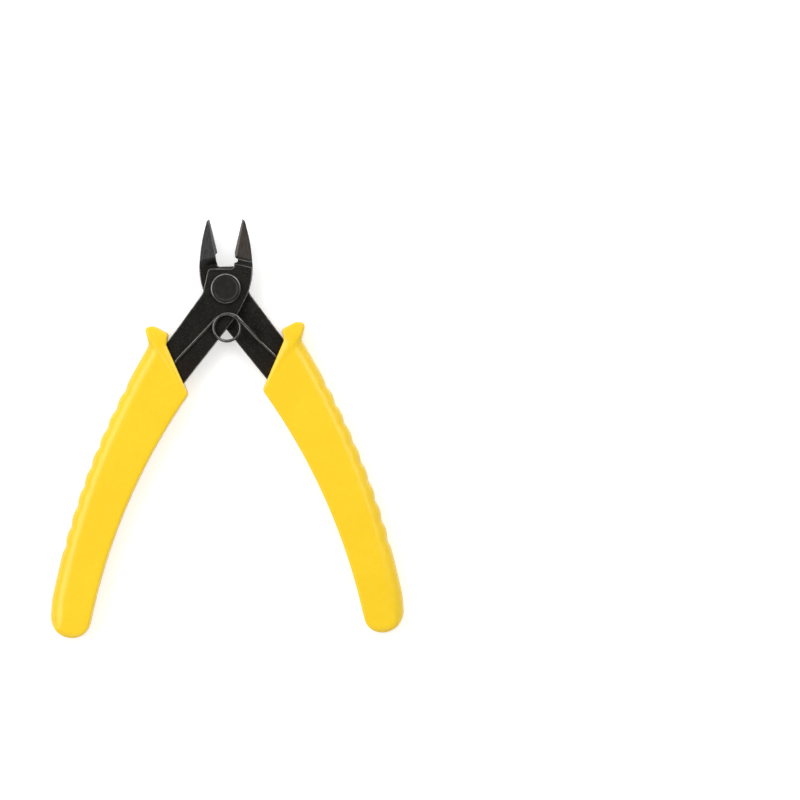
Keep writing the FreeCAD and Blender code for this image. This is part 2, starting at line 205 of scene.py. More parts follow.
def blackened_steel(name, side):
    finish = Finish(name)
    place = finish.place()
    grain = finish.noise(place, GRAIN, 3, 0.6)
    blotch = finish.noise(place, BLOTCH, 4, 0.6)
    drawn_out = {"Vector": place, "Rotation": (0, 0, side * OPEN_ANGLE), "Scale": LINE_DRAW}
    lines = finish.noise(finish.node("ShaderNodeMapping", None, drawn_out), GRINDING_LINE, 3, 0.6)

    along = (in_place(side, 0, 1) - in_place(side, 0, 0)).normalized()
    height = (finish.vector_maths("DOT_PRODUCT", place, along, "Value") - PIVOT.dot(along)) * (1 / MM)
    ragged = blotch - 0.5
    ground = finish.step(height + ragged * 0.5, GROUND_FROM[side], GROUND_FROM[side] + BLEND_RUN)
    near_grip = finish.step(height + ragged * 3, BROWNED_FROM, BROWNED_TO)

    normal = finish.node("ShaderNodeNewGeometry", output="Normal")
    level = finish.maths("ABSOLUTE", finish.node("ShaderNodeSeparateXYZ", None, {0: normal}, 2))
    # Bare steel on the rounded and sharp edges and at the tips: wear, and on the edges also a painted
    # highlight.
    broken_edge = finish.step(level, UPRIGHT, 0.55) * finish.step(level, LEVEL, 0.90)
    broken_edge = broken_edge * finish.step(height, BENT_FROM, BENT_FROM - BLEND_RUN)
    # Painted highlights along the two crests of the front half's bend.
    crests = finish.band(height, BENT_FROM, CREST_HALF) + finish.band(height, BENT_TO, CREST_HALF)
    tip = finish.step(height, JAW_END - TIP_RUN, JAW_END)
    patchy = finish.step(finish.noise(place, WEAR_PATCH, 3, 0.6), 0.30, 0.70, 0.30, 1.0)
    sharp = finish.edges(WORN_AND_HIGHLIT_EDGE)
    wear_and_highlight = broken_edge + crests * CREST_PAINTED_HIGHLIGHT[side] + sharp * EDGE_WEAR_AND_HIGHLIGHT + tip * TIP_WEAR
    worn_and_highlit = finish.maths("MINIMUM", wear_and_highlight * patchy, 1.0)
    # Painted light on the rear half's inner bend, a slope that lies in shade.
    painted_bend_light = finish.step(height, INNER_BEND[0] - 0.2, INNER_BEND[0] + 0.2)
    painted_bend_light = painted_bend_light * finish.step(height, INNER_BEND[1], INNER_BEND[1] - 0.2)

    colour = finish.mix(finish.step(blotch * 0.5 + grain * 0.5, 0.35, 0.65), BLACK, BLACK_WORN)
    colour = finish.mix(near_grip * BROWNING, colour, BROWNED)
    specks = finish.step(finish.noise(place, SPECK_SIZE), 0.54, 0.70)
    colour = finish.mix(specks * SPECKLED, colour, SPECK)
    colour = finish.mix(painted_bend_light * INNER_BEND_PAINTED_LIGHT[side], colour, BARE_STEEL_AND_HIGHLIGHT)
    groove = [GROOVE_TONE * part for part in GROUND[side]]
    ground_tone = finish.mix(finish.step(lines, 0.3, 0.7), (*groove, 1), (*GROUND[side], 1))
    colour = finish.mix(ground, colour, ground_tone)
    colour = finish.mix(worn_and_highlit * WEAR_AND_HIGHLIGHT, colour, BARE_STEEL_AND_HIGHLIGHT)
    return finish.finished(
        {"Metallic": 1.0},
        {"Base Color": colour, "Roughness": 0.40 + grain * 0.10 + blotch * 0.06 - ground * 0.04},
        bumps=grain * (1 - ground) + (lines * 0.6 + grain * 0.4) * ground,
        bump_height=0.012,
    )


def repaint(node, material):
    """Gives a piece of the frame its finish."""
    node.data.materials.clear()
    node.data.materials.append(material)


for half_name, half_side in (("front", FRONT), ("rear", REAR)):
    half_steel = blackened_steel(half_name + "_half_blackened_steel", half_side)
    repaint(frame["nodes"][half_name + "_blade_arm"], half_steel)


# ---- Pivot rivet and its washer --------------------------------------------------------------
# A turned steel rivet, blackened with the halves. Its head has a chamfer, painted with a highlight,
# and a shallow dish with a faint painted highlight round it; its other end is peened over a plain washer.

RIVET_LOW, RIVET_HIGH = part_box("pivot_rivet")
HEAD_RADIUS = (RIVET_HIGH.x - RIVET_LOW.x) / 2 / MM
HEAD_TOP = (RIVET_HIGH.z - PIVOT.z) / MM
PEEN_LOW = (RIVET_LOW.z - PIVOT.z) / MM
HEAD_HEIGHT = 1.15
HEAD_CHAMFER = 0.32
HEAD_ROUNDING = 0.06
DISH_RADIUS = 3.55
DISH_SLOPE = 0.38
DISH_DEPTH = 0.07
RIM_FALL = 0.15
SHANK_RADIUS = 2.25
PEEN_RADIUS = 3.1
PEEN_HEIGHT = 0.8
TURNED_SEGMENTS = 128


def added(name, data):
    """A new object in the scene, at the origin."""
    obj = bpy.data.objects.new(name, data)
    bpy.context.scene.collection.objects.link(obj)
    return obj


def mesh_of(name, points, faces):
    mesh = bpy.data.meshes.new(name)
    mesh.from_pydata(points, [], faces)
    return mesh


def settle(obj, body, slot, *nodes):
    """The piece rides on a body, if one is given, and stands for nodes of the frame."""
    if body:
        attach(obj, body)
    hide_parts(*nodes)


def soften(mesh, sharp_above):
    """Smooth shading, but for edges sharper than an angle in degrees."""
    mesh.shade_smooth()
    mesh.set_sharp_from_angle(angle=math.radians(sharp_above))


ARC_STEP = math.radians(6)
ARC_CHORD = 0.6


def rounded(corners, closed):
    """Points along straight runs joined by arcs: corners are (Vector, radius), in millimetres."""
    points = []
    count = len(corners)
    for i, (corner, radius) in enumerate(corners):
        if radius == 0 or (not closed and i in (0, count - 1)):
            points.append(corner.copy())
            continue
        into = (corner - corners[i - 1][0]).normalized()
        out = (corners[(i + 1) % count][0] - corner).normalized()
        turn = into.angle(out)
        inward = (out - into).normalized()
        across = (into + out).normalized()
        centre = corner + inward * (radius / math.cos(turn / 2))
        steps = max(2, math.ceil(turn / ARC_STEP), math.ceil(radius * turn / ARC_CHORD))
        for k in range(steps + 1):
            part = turn * (k / steps - 0.5)
            points.append(centre - inward * (radius * math.cos(part)) + across * (radius * math.sin(part)))
    return points


def turned(profile):
    """Points and faces of a turned piece about the rivet's axis, from a (radius, z) profile whose
    ends are closed with a fan of triangles."""
    points = []
    faces = []
    count = len(profile)
    for k in range(TURNED_SEGMENTS):
        angle = 2 * math.pi * k / TURNED_SEGMENTS
        for radius, z in profile:
            points.append(PIVOT + Vector((radius * math.cos(angle), radius * math.sin(angle), z)) * MM)
    low, high = len(points), len(points) + 1
    points += [PIVOT + Vector((0, 0, z)) * MM for z in (profile[0][1], profile[-1][1])]
    for k in range(TURNED_SEGMENTS):
        here = k * count
        after = (k + 1) % TURNED_SEGMENTS * count
        for i in range(count - 1):
            faces.append((here + i, after + i, after + i + 1, here + i + 1))
        faces.append((low, after, here))
        faces.append((high, here + count - 1, after + count - 1))
    return points, faces


RIVET_BLACK = (0.040, 0.039, 0.036, 1)
TOOL_MARKS = 9.0  # turning lines in a millimetre of radius
RIM_PAINTED_HIGHLIGHT, DISH_PAINTED_HIGHLIGHT = 0.36, 0.04


def turned_black_steel():
    finish = Finish("turned_black_steel")
    place = finish.place()
    flat = finish.vector_maths("MULTIPLY", finish.vector_maths("SUBTRACT", place, PIVOT), (1, 1, 0))
    radius = finish.vector_maths("LENGTH", flat, (0, 0, 0), "Value") * (1 / MM)
    marks = {"W": radius, "Scale": TOOL_MARKS, "Detail": 3.0}
    rings = finish.node("ShaderNodeTexNoise", {"noise_dimensions": "1D"}, marks)
    grain = finish.noise(place, 0.15, 3, 0.6)
    blotch = finish.noise(place, 1.8, 3, 0.6)
    chamfer_from = HEAD_RADIUS - HEAD_CHAMFER
    rim = finish.step(radius, chamfer_from - 0.08, chamfer_from + 0.06)
    dish = finish.step(radius, DISH_RADIUS - 0.5, DISH_RADIUS - 0.36)
    dish = dish * finish.step(radius, DISH_RADIUS + 0.08, DISH_RADIUS - 0.04)
    colour = finish.mix(finish.step(blotch * 0.6 + grain * 0.4, 0.3, 0.7), BLACK_WORN, RIVET_BLACK)
    # Painted highlights: a patchy one on the head's chamfer and a faint ring round the dish.
    wear_and_highlight = rim * finish.step(blotch, 0.25, 0.7, 0.55, 1.0) * RIM_PAINTED_HIGHLIGHT + dish * DISH_PAINTED_HIGHLIGHT
    return finish.finished(
        {"Metallic": 1.0},
        {
            "Base Color": finish.mix(wear_and_highlight, colour, BARE_STEEL_AND_HIGHLIGHT),
            "Roughness": 0.36 + grain * 0.10 + rings * 0.08 - rim * 0.16,
        },
        bumps=rings * 0.7 + grain * 0.3,
        bump_height=0.012,
    )


under_head = HEAD_TOP - HEAD_HEIGHT
over_peen = PEEN_LOW + PEEN_HEIGHT
# Corners (radius, height, rounding), from the middle of the peened end to that of the head.
rivet_corners = [
    (0.35, PEEN_LOW + 0.14, 0),
    (0.9, PEEN_LOW, 0.5),
    (PEEN_RADIUS - 0.65, PEEN_LOW + 0.04, 1.2),
    (PEEN_RADIUS, PEEN_LOW + 0.5, 0.3),
    (PEEN_RADIUS, over_peen, 0),
    (SHANK_RADIUS, over_peen, 0),
    (SHANK_RADIUS, under_head, 0),
    (HEAD_RADIUS - 2 * HEAD_ROUNDING, under_head, HEAD_ROUNDING),
    (HEAD_RADIUS, under_head + 2 * HEAD_ROUNDING, HEAD_ROUNDING),
    (HEAD_RADIUS, HEAD_TOP - RIM_FALL, 0.08),
    (HEAD_RADIUS - HEAD_CHAMFER, HEAD_TOP, 0.6),
    (DISH_RADIUS, HEAD_TOP, 0.12),
    (DISH_RADIUS - DISH_SLOPE, HEAD_TOP - DISH_DEPTH, 0.16),
    (0.5, HEAD_TOP - DISH_DEPTH - 0.01, 0),
]
rivet_profile = rounded([(Vector((r, z)), rounding) for r, z, rounding in rivet_corners], closed=False)
rivet_steel = turned_black_steel()
rivet = added("rivet_turned", mesh_of("rivet_turned", *turned(rivet_profile)))
rivet.data.materials.append(rivet_steel)
soften(rivet.data, 50)
settle(rivet, "pivot", "rivet_steel", "pivot_rivet")
repaint(frame["nodes"]["rivet_washer"], rivet_steel)


# ---- Return spring ---------------------------------------------------------------------------
# One piece of blackened spring wire: a coil of one turn and a bit, and two legs that reach into
# the grips. The coil rides on the pivot; the legs stay where they are made, on neither half.

WIRE_RADIUS = 0.45
WIRE_GAP = 0.04
PLATE = 2.8
PLATE_GAP = 0.025
COIL_RADIUS = 3.85
COIL_CENTRE = Vector((0.25, -11.5, 0))
REAR_TURN_GROWTH = 0.2
FRONT_TURN_GROWTH = 0.35
REAR_TURN_Z = PLATE_GAP + PLATE + WIRE_GAP + WIRE_RADIUS
FRONT_TURN_Z = REAR_TURN_Z + 2 * WIRE_RADIUS + WIRE_GAP
ON_REAR_PLATE_Z = -PLATE_GAP + WIRE_GAP + WIRE_RADIUS
# The legs: angles from the centre line in degrees, and distances along the leg from the coil.
LEFT_ANGLE, LEFT_END_ANGLE = 44.0, 38.0
LEFT_BEND_AT, LEFT_LENGTH = 16.2, 23.5
LEFT_BEND_RADIUS = 8.0
RIGHT_ANGLE, RIGHT_END_ANGLE = 42.0, 46.0
RIGHT_LEVEL_RUN, RIGHT_LANDING_AT, RIGHT_LENGTH = 1.6, 9.4, 24.5
RIGHT_BEND_RADIUS = 2.5
WIRE_SIDES = 24
WIRE_SPACING = 0.35  # between the rings of the wire
COIL_STEP = 4.0  # degrees between points of the coil
SPLIT = 90.0  # the legs' pieces meet the coil's at the top of the coil
GRIP_HOLDS_FROM = 0.6  # share of a leg's length from its start at which the point `held` lies


def evenly(points, closed, spacing):
    """The same line with points about `spacing` apart."""
    line = points + [points[0]] if closed else points
    lengths = np.cumsum([0.0] + [(b - a).length for a, b in zip(line, line[1:])])
    count = max(2, round(lengths[-1] / spacing))
    stations = np.linspace(0, lengths[-1], count + 1)
    if closed:
        stations = stations[:-1]
    columns = [np.interp(stations, lengths, [p[axis] for p in line]) for axis in range(len(line[0]))]
    return [Vector(p) for p in zip(*columns)]


def coil_run(start, end, start_z, end_z, growth=0.0, towards=0):
    """Points round the coil between two angles in degrees, easing from one height to the other."""
    centre = COIL_CENTRE + Vector((towards * growth, 0, 0))
    steps = round(abs(end - start) / COIL_STEP)
    points = []
    for k in range(steps + 1):
        part = k / steps
        angle = math.radians(start + (end - start) * part)
        z = start_z + (end_z - start_z) * part * part * (3 - 2 * part)
        radial = Vector((math.cos(angle), math.sin(angle), 0)) * (COIL_RADIUS + growth)
        points.append(centre + radial + Vector((0, 0, z)))
    return points


def leg_direction(side, angle):
    angle = math.radians(angle)
    return Vector((side * math.sin(angle), -math.cos(angle), 0))


def at_height(point, z):
    return Vector((point.x, point.y, z))


class Grower:
    """A geometry node tree: it takes a geometry and named sizes, and ends in one painted mesh."""

    def __init__(self, name, **sizes):
        self.tree = bpy.data.node_groups.new(name, "GeometryNodeTree")
        sockets = {"Geometry": "NodeSocketGeometry", **sizes, "Material": "NodeSocketMaterial"}
        for label, kind in sockets.items():
            self.tree.interface.new_socket(label, in_out="INPUT", socket_type=kind)
        self.tree.interface.new_socket("Geometry", in_out="OUTPUT", socket_type="NodeSocketGeometry")
        self.inputs = self.tree.nodes.new("NodeGroupInput").outputs

    def node(self, kind, settings=None, sockets=None):
        made = self.tree.nodes.new(kind)
        for name, value in (settings or {}).items():
            setattr(made, name, value)
        for name, value in (sockets or {}).items():
            if isinstance(value, bpy.types.NodeSocket):
                self.tree.links.new(value, made.inputs[name])
            else:
                made.inputs[name].default_value = value
        return made.outputs

    def end(self, geometry):
        whole = self.node("GeometryNodeRealizeInstances", None, {"Geometry": geometry})[0]
        paint = {"Geometry": whole, "Material": self.inputs["Material"]}
        self.node("NodeGroupOutput", None, {0: self.node("GeometryNodeSetMaterial", None, paint)[0]})

    def grow(self, obj, name, values):
        """What the tree makes of an object, as a new plain mesh object. The old one goes."""
        modifier = obj.modifiers.new("grow", "NODES")
        modifier.node_group = self.tree
        for item in self.tree.interface.items_tree:
            if item.in_out == "INPUT" and item.name in values:
                modifier[item.identifier] = values[item.name]
        bpy.context.view_layer.update()
        evaluated = obj.evaluated_get(bpy.context.evaluated_depsgraph_get())
        mesh = bpy.data.meshes.new_from_object(evaluated)
        mesh.name = name
        bpy.data.objects.remove(obj)
        return added(name, mesh)


def wire_grower():
    """Draws a round wire along a line, with closed ends."""
    grower = Grower("Wire along a line", **{"Wire radius": "NodeSocketFloat", "Sides": "NodeSocketInt"})
    sizes = {"Resolution": grower.inputs["Sides"], "Radius": grower.inputs["Wire radius"]}
    ring = grower.node("GeometryNodeCurvePrimitiveCircle", None, sizes)
    sweep = {"Curve": grower.inputs["Geometry"], "Profile Curve": ring["Curve"], "Fill Caps": True}
    swept = grower.node("GeometryNodeCurveToMesh", None, sweep)
    smooth = grower.node("GeometryNodeSetShadeSmooth", None, {"Geometry": swept["Mesh"]})
    grower.end(smooth["Geometry"])
    return grower


def spring_wire(name, points, grower, material):
    """A length of the spring through points given from the pivot, in millimetres."""
    points = evenly(points, closed=False, spacing=WIRE_SPACING)
    curve = bpy.data.curves.new(name + "_line", "CURVE")
    curve.dimensions = "3D"
    spline = curve.splines.new("POLY")
    spline.points.add(len(points) - 1)
    for target, point in zip(spline.points, points):
        target.co = (*(PIVOT + point * MM), 1)
    values = {"Wire radius": WIRE_RADIUS * MM, "Sides": WIRE_SIDES, "Material": material}
    return grower.grow(added(name + "_line", curve), name, values)


SPRING_DARK = (0.105, 0.103, 0.098, 1)
SPRING_PALE = (0.160, 0.157, 0.149, 1)


def blackened_wire():
    finish = Finish("blackened_spring_wire")
    place = finish.place()
    grain = finish.noise(place, 0.10, 3, 0.6)
    blotch = finish.noise(place, 1.2, 4, 0.6)
    colour = finish.mix(finish.step(blotch, 0.3, 0.7), SPRING_DARK, SPRING_PALE)
    wear_and_highlight = finish.step(grain * 0.5 + blotch * 0.5, 0.58, 0.70) * 0.15
    return finish.finished(
        {"Metallic": 1.0},
        {"Base Color": finish.mix(wear_and_highlight, colour, BARE_STEEL_AND_HIGHLIGHT), "Roughness": 0.17 + grain * 0.10},
        bumps=grain,
        bump_height=0.003,
    )


left_start = coil_run(180 - LEFT_ANGLE, SPLIT, REAR_TURN_Z, REAR_TURN_Z, REAR_TURN_GROWTH, REAR)
left_from = left_start[0]
left_bend = left_from + leg_direction(REAR, LEFT_ANGLE) * LEFT_BEND_AT
left_end = left_bend + leg_direction(REAR, LEFT_END_ANGLE) * (LEFT_LENGTH - LEFT_BEND_AT)
left_leg = rounded([(left_end, 0), (left_bend, LEFT_BEND_RADIUS), (left_from, 0)], closed=False)

right_start = coil_run(SPLIT, RIGHT_ANGLE, FRONT_TURN_Z, FRONT_TURN_Z, FRONT_TURN_GROWTH, FRONT)
right_from = right_start[-1]
right_along = leg_direction(FRONT, RIGHT_ANGLE)
right_level = right_from + right_along * RIGHT_LEVEL_RUN
right_landing = at_height(right_from + right_along * RIGHT_LANDING_AT, ON_REAR_PLATE_Z)
right_end = right_landing + leg_direction(FRONT, RIGHT_END_ANGLE) * (RIGHT_LENGTH - RIGHT_LANDING_AT)
right_bends = [(right_level, RIGHT_BEND_RADIUS), (right_landing, RIGHT_BEND_RADIUS)]
right_leg = rounded([(right_from, 0), *right_bends, (right_end, 0)], closed=False)

coil = (
    coil_run(SPLIT, 0, REAR_TURN_Z, REAR_TURN_Z, REAR_TURN_GROWTH, REAR)
    + coil_run(0, -180, REAR_TURN_Z, FRONT_TURN_Z)[1:]
    + coil_run(180, SPLIT, FRONT_TURN_Z, FRONT_TURN_Z, FRONT_TURN_GROWTH, FRONT)[1:]
)
along_line = wire_grower()
spring_steel = blackened_wire()
settle(spring_wire("spring_coil", coil, along_line, spring_steel), "pivot", "spring_wire", "return_spring")
legs = [
    ("spring_leg_left", left_leg + left_start[1:], "front_half", left_from, left_end),
    ("spring_leg_right", right_start + right_leg[1:], "rear_half", right_from, right_end),
]
for leg_name, leg_points, leg_body, leg_from, leg_to in legs:
    leg = spring_wire(leg_name, leg_points, along_line, spring_steel)
    held = leg_from.lerp(at_height(leg_to, leg_from.z), GRIP_HOLDS_FROM)
    PIVOT + leg_from * MM
    PIVOT + held * MM
    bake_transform(leg)
    settle(leg, None, "spring_wire", "return_spring")


# ---- Grips -----------------------------------------------------------------------------------
# Two injection moulded sleeves of yellow plastic, pushed hot onto the arms. Each has a guard
# horn, a raised collar round its mouth, and finger scallops down a softly rounded back.

GRIP_HALF = (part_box("left_grip")[1].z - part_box("left_grip")[0].z) / 2 / MM
BACK_SHOULDER = 4.1
SHOULDER = 1.05
MOUTH_OUTER, MOUTH_INNER = Vector((-13.1, -19.3)), Vector((-3.7, -31.9))
HORN_ROOT = Vector((-18.1, -20.3))
GRIP_END = -108.95
# Corners (x, y, radius, rounding of the rim from here to the next corner).
GRIP_CORNERS = [
    (*MOUTH_OUTER, 0.5, 0.7),
    (-13.3, -15.95, 1.1, 0.8),
    (-17.9, -14.7, 2.4, SHOULDER),
    (-20.45, -15.7, 1.15, SHOULDER),
    (*HORN_ROOT, 2.5, BACK_SHOULDER),
    (-29.5, -56.2, 226.0, BACK_SHOULDER),
    (-29.5, -99.0, 25.0, BACK_SHOULDER),
    (-28.0, GRIP_END, 6.2, 1.9),
    (-17.0, GRIP_END, 5.3, 1.0),
    (-17.0, -65.7, 178.0, 1.0),
    (*MOUTH_INNER, 1.6, 0.8),
]
BACK_INSIDE_X, BACK_FROM_Y, BACK_TO_Y = -18, -21, -104  # the stretch that can have scallops
PUSHED_ON = {FRONT: 0.6, REAR: -0.6}  # each grip sits this much lower or higher on its arm
PUSH_DIRECTION = Vector((-math.sin(math.radians(20)), -math.cos(math.radians(20))))
OUTLINE_SPACING = 0.33
RIM_FADE_RUN = 7.0  # the rim's rounding changes over this length
RIM_SMOOTHING = 1.2
SHOULDER_STEPS = 9
FACE_SPACING = 0.5
ROW_SPACING = 0.87 * FACE_SPACING
BORDER_ROOM = 0.55 * FACE_SPACING
PARTING_WIDTH = 0.16
PARTING_HEIGHT = 0.05

SCALLOP_PITCH = 6.1
SCALLOP_COUNT = 8
SCALLOP_DEPTH = 0.55
SCALLOP_VALLEY = 0.22
SCALLOP_FADE = 1.6  # how fast the scallops fade out over the shoulder
FIRST_VALLEY = -34.8
OFF_BACK = -1000.0  # run of a point that no scallop reaches

MOUTH_ALONG = (MOUTH_INNER - MOUTH_OUTER).normalized()
MOUTH_INTO = Vector((MOUTH_ALONG.y, -MOUTH_ALONG.x))
COLLAR_WIDTH, COLLAR_TAPER = 1.9, 0.12
COLLAR_FLARE, FLARE_RUN, FLARE_LIMIT = 1.0, 2.5, 4.0
COLLAR_STEP, STEP_BEFORE, STEP_AFTER = 0.30, 0.2, 1.1
COLLAR_SLOPE = 0.35
SLOPE_STARTS = (-3.0, 1.0)  # along the mouth from its outer corner
HORN_UP = Vector((-0.196, 0.981))
HORN_DROP = 0.40
HORN_FALLS = (1.6, 5.6)  # up the horn from its root

SLOT_GAP = 0.30
SLOT_CORNERS = [(-6.6, -2.8), (-15.0, -22.3), (-17.9, -35.9), (-9.4, -37.6), (5.2, -7.0)]
PLATE_SPAN = {FRONT: (PLATE_GAP, PLATE_GAP + PLATE), REAR: (-PLATE_GAP - PLATE, -PLATE_GAP)}
HOLE_GAP = 0.14
HOLE_PAST_LEG = 0.4
HOLE_SIDES = 24


def eased(value, low, high):
    part = min(1.0, max(0.0, (value - low) / (high - low)))
    return part * part * (3 - 2 * part)


def face_height(x, y):
    """The height of the grip's face at a point, from its full thickness: zero or less."""
    from_mouth = Vector((x, y)) - MOUTH_OUTER
    into, along = from_mouth.dot(MOUTH_INTO), from_mouth.dot(MOUTH_ALONG)
    flare = COLLAR_FLARE * math.exp(min(-along / FLARE_RUN, FLARE_LIMIT))
    width = COLLAR_WIDTH - COLLAR_TAPER * along + flare
    collar = -COLLAR_SLOPE * (1 - eased(into, 0.0, COLLAR_WIDTH)) * eased(along, *SLOPE_STARTS)
    height = collar - (COLLAR_STEP + collar) * eased(into, width - STEP_BEFORE, width + STEP_AFTER)
    up_horn = (Vector((x, y)) - HORN_ROOT).dot(HORN_UP)
    return height - HORN_DROP * eased(up_horn, *HORN_FALLS)


def smoothed(values, length):
    """A closed run of numbers along the outline, averaged over a length each way."""
    reach = round(length / OUTLINE_SPACING)
    kernel = np.hanning(2 * reach + 3)[1:-1]
    kernel /= kernel.sum()
    padded = np.concatenate([values[-reach:], values, values[:reach]])
    return np.convolve(padded, kernel, mode="valid")


def grip_outline():
    """The outline's points, inward normals, rim roundings, and runs past the first valley."""
    corners = [(Vector((x, y)), radius) for x, y, radius, _ in GRIP_CORNERS]
    points = evenly(rounded(corners, closed=True), closed=True, spacing=OUTLINE_SPACING)
    count = len(points)
    towards = [points[(i + 1) % count] - points[i - 1] for i in range(count)]
    area = sum(points[i - 1].cross(points[i]) for i in range(count))
    turn = 1 if area > 0 else -1
    inward = [Vector((-t.y, t.x)).normalized() * turn for t in towards]

    starts = [min(range(count), key=lambda i: (points[i] - corner).length) for corner, _ in corners]
    order = sorted(zip(starts, [rim for *_, rim in GRIP_CORNERS]))
    rims = np.full(count, order[-1][1])
    for start, rim in order:
        rims[start:] = rim
    rims[: order[0][0]] = order[-1][1]
    rims = np.minimum(smoothed(rims, RIM_FADE_RUN / 2), np.maximum(rims, SHOULDER))
    rims = smoothed(rims, RIM_SMOOTHING)

    back = [i for i, p in enumerate(points) if p.x < BACK_INSIDE_X and BACK_TO_Y < p.y < BACK_FROM_Y]
    first = min(back, key=lambda i: abs(points[i].y - FIRST_VALLEY))
    steps = [(points[(i + 1) % count] - points[i]).length for i in range(count)]
    along = np.concatenate([[0.0], np.cumsum(steps[:-1])])
    downwards = 1 if points[(first + 1) % count].y < points[first].y else -1
    runs = np.full(count, OFF_BACK)
    runs[back] = downwards * (along[back] - along[first])
    return points, inward, rims, runs


def scallop_grower():
    """Presses a row of finger scallops into a grip's back. Each bump is a parabola one pitch
    long, with its foot rounded where two bumps meet."""
    sizes = ("Pitch", "Count", "Depth", "Valley rounding")
    grower = Grower("Finger scallops", **dict.fromkeys(sizes, "NodeSocketFloat"))
    pitch, count, depth, valley = (grower.inputs[size] for size in sizes)

    def attribute(name, kind):
        found = grower.node("GeometryNodeInputNamedAttribute", {"data_type": kind}, {"Name": name})
        return found["Attribute"]

    def maths(operation, *values):
        return grower.node("ShaderNodeMath", {"operation": operation}, dict(enumerate(values)))[0]

    pitches = maths("DIVIDE", attribute("back_run", "FLOAT"), pitch)
    across = maths("MULTIPLY_ADD", maths("FRACT", pitches), 2.0, -1.0)
    fall = maths("MULTIPLY", maths("MULTIPLY", across, across), depth)
    foot = maths("SUBTRACT", depth, maths("MULTIPLY", valley, 0.5))
    pressed = maths("SMOOTH_MIN", fall, foot, valley)
    after_start = maths("GREATER_THAN", pitches, -0.5)
    before_end = maths("LESS_THAN", pitches, maths("ADD", count, 0.5))
    pressed = maths("MULTIPLY", maths("MULTIPLY", pressed, after_start), before_end)
    pressed = maths("MAXIMUM", maths("MULTIPLY", pressed, attribute("rim", "FLOAT")), 0.0)
    inward = {"Vector": attribute("inward", "FLOAT_VECTOR"), "Scale": pressed}
    offset = grower.node("ShaderNodeVectorMath", {"operation": "SCALE"}, inward)["Vector"]
    moved = {"Geometry": grower.inputs["Geometry"], "Offset": offset}
    grower.end(grower.node("GeometryNodeSetPosition", None, moved)["Geometry"])
    return grower


def face_fill(ring):
    """A grid of points inside a closed ring of 2-D points, and triangles over both."""
    border = np.array(ring)
    shifted = np.roll(border, -1, axis=0)
    inside = []
    for k, y in enumerate(np.arange(border[:, 1].min(), border[:, 1].max(), ROW_SPACING)):
        crosses = (border[:, 1] > y) != (shifted[:, 1] > y)
        a, b = border[crosses], shifted[crosses]
        walls = np.sort(a[:, 0] + (y - a[:, 1]) / (b[:, 1] - a[:, 1]) * (b[:, 0] - a[:, 0]))
        for start, end in zip(walls[::2], walls[1::2]):
            first = math.ceil(start / FACE_SPACING) * FACE_SPACING + FACE_SPACING / 2 * (k % 2)
            for x in np.arange(first, end, FACE_SPACING):
                if np.min(np.hypot(border[:, 0] - x, border[:, 1] - y)) > BORDER_ROOM:
                    inside.append((x, y))
    points = [Vector(p) for p in [*ring, *inside]]
    _, _, faces, origins, _, _ = delaunay_2d_cdt(points, [], [list(range(len(ring)))], 1, 1e-7)
    return inside, [tuple(origins[i][0] for i in face) for face in faces]


def grip_shell(name, side):
    """The smooth sleeve before its scallops: rings round the rims, and the two filled faces."""
    outline, inward, rims, runs = grip_outline()
    count = len(outline)
    slide = PUSH_DIRECTION * PUSHED_ON[side]
    flat, attributes, faces = [], [], []

    def shoulder_ring(level, face):
        angle = math.pi / 2 * level / SHOULDER_STEPS
        fade = max(0.0, math.cos(angle)) ** SCALLOP_FADE
        for point, normal, rim, run in zip(outline, inward, rims, runs):
            place = point + normal * (rim * (1 - math.cos(angle)))
            fall = rim * (1 - math.sin(angle)) - face_height(*place) * math.sin(angle) ** 2
            flat.append((*place, face * (GRIP_HALF - fall)))
            attributes.append((run, fade, normal))

    def parting_ring(height, proud):
        for point, normal, run in zip(outline, inward, runs):
            flat.append((*(point - normal * proud), height))
            attributes.append((run, 1.0, normal))

    for level in reversed(range(SHOULDER_STEPS + 1)):
        shoulder_ring(level, 1)
    parting_ring(PARTING_WIDTH, 0.0)
    parting_ring(0.0, PARTING_HEIGHT)
    parting_ring(-PARTING_WIDTH, 0.0)
    for level in range(SHOULDER_STEPS + 1):
        shoulder_ring(level, -1)
    last_ring = len(flat) - count
    for ring in range(0, last_ring, count):
        for i in range(count):
            after = ring + (i + 1) % count
            faces.append((ring + i, ring + i + count, after + count, after))

    inside, fill = face_fill([point[:2] for point in flat[:count]])
    for face, first_of_ring in ((1, 0), (-1, last_ring)):
        first_inside = len(flat)
        for x, y in inside:
            flat.append((x, y, face * (GRIP_HALF + face_height(x, y))))
            attributes.append((OFF_BACK, 0.0, Vector((0, 0))))
        for triangle in fill:
            corners = [first_of_ring + v if v < count else first_inside + v - count for v in triangle]
            faces.append(corners[::face])

    mesh = mesh_of(name, [in_place(side, x + slide.x, y + slide.y, z) for x, y, z in flat], faces)
    zero = in_place(side, 0, 0)
    vectors = [(in_place(side, *normal) - zero) / MM for _, _, normal in attributes]
    fields = [
        ("back_run", "FLOAT", "value", [run * MM for run, _, _ in attributes]),
        ("rim", "FLOAT", "value", [fade for _, fade, _ in attributes]),
        ("inward", "FLOAT_VECTOR", "vector", [part for vector in vectors for part in vector]),
    ]
    for label, kind, key, values in fields:
        mesh.attributes.new(label, kind, "POINT").data.foreach_set(key, values)
    return added(name, mesh)


def facing_out(mesh):
    """Turns a closed mesh the right way out."""
    mesh.calc_loop_triangles()
    volume = 0.0
    for triangle in mesh.loop_triangles:
        a, b, c = (mesh.vertices[i].co - PIVOT for i in triangle.vertices)
        volume += a.dot(b.cross(c))
    if volume < 0:
        mesh.flip_normals()


